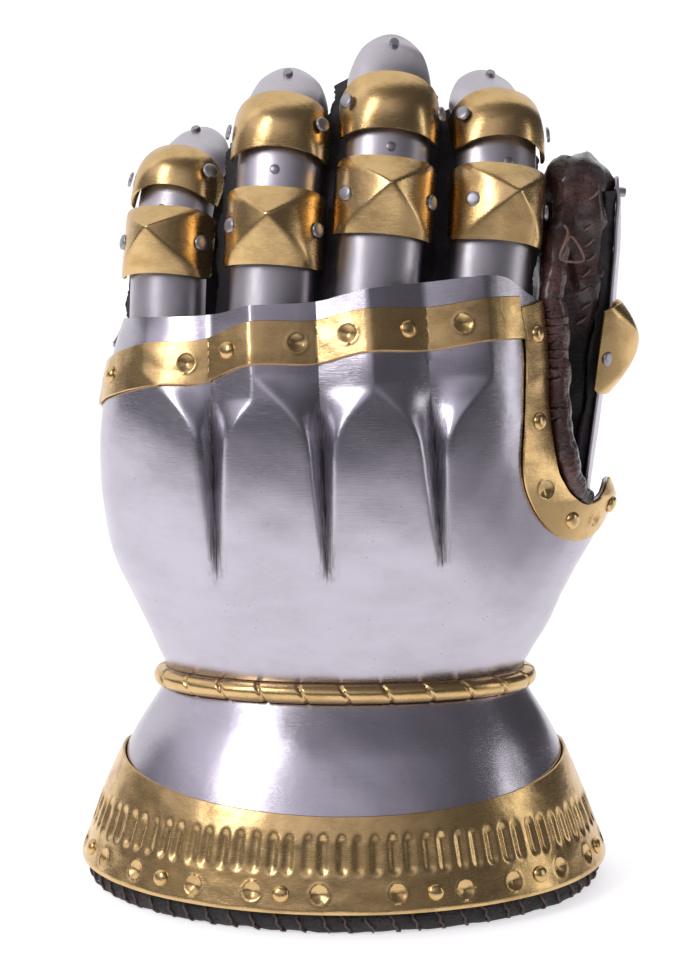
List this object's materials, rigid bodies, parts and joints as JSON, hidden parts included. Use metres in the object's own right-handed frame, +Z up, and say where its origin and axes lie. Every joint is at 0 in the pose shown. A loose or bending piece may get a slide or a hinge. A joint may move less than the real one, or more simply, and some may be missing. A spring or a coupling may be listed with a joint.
{
  "type": "hourglass gauntlet for a left hand",
  "caption": "Steel hourglass gauntlet for a left hand: flared cuff, fluted hand plate, brass bands and articulated finger plates over a leather glove.",
  "frame": {"origin": "bottom centre of the bounding box, on the plane that the cuff's hem stands on", "axes": "+Z up along the hand to the fingers, -Y out of the back of the hand, +X towards the thumb"},
  "size_m": [0.153, 0.1112, 0.2329],
  "materials": {
    "steel": "brushed steel with fine scratches and small dark pits",
    "brass": "polished brass, lightly scratched and toned",
    "glove_leather": "glossy reddish-brown leather, creased",
    "lining_leather": "dark grey leather, worn and matt",
    "suede": "dark suede with a frayed edge"
  },
  "bodies": {
    "root": {"hourglass_plate": "steel", "waist_rope": "brass", "cuff_band": "brass", "knuckle_band": "brass", "thumb_band": "brass", "cuff_lining": "lining_leather", "glove_hand": "glove_leather", "little_root_lame": "steel", "little_knuckle_plate": "brass", "little_middle_lame": "steel", "little_joint_plate": "brass", "little_tip_plate": "steel", "little_knuckle_rivet_left": "steel", "little_knuckle_rivet_right": "steel", "little_joint_rivet_left": "steel", "little_joint_rivet_right": "steel", "little_strap": "suede", "little_stall": "glove_leather", "ring_root_lame": "steel", "ring_knuckle_plate": "brass", "ring_middle_lame": "steel", "ring_joint_plate": "brass", "ring_tip_plate": "steel", "ring_knuckle_rivet_left": "steel", "ring_knuckle_rivet_right": "steel", "ring_joint_rivet_left": "steel", "ring_joint_rivet_right": "steel", "ring_strap": "suede", "ring_stall": "glove_leather", "middle_root_lame": "steel", "middle_knuckle_plate": "brass", "middle_middle_lame": "steel", "middle_joint_plate": "brass", "middle_tip_plate": "steel", "middle_knuckle_rivet_left": "steel", "middle_knuckle_rivet_right": "steel", "middle_joint_rivet_left": "steel", "middle_joint_rivet_right": "steel", "middle_strap": "suede", "middle_stall": "glove_leather", "index_root_lame": "steel", "index_knuckle_plate": "brass", "index_middle_lame": "steel", "index_joint_plate": "brass", "index_tip_plate": "steel", "index_knuckle_rivet_left": "steel", "index_knuckle_rivet_right": "steel", "index_joint_rivet_left": "steel", "index_joint_rivet_right": "steel", "index_strap": "suede", "index_stall": "glove_leather", "thumb_root_lame": "steel", "thumb_knuckle_plate": "brass", "thumb_tip_plate": "steel", "thumb_strap": "suede", "thumb_stall": "glove_leather"}
  },
  "joints": []
}
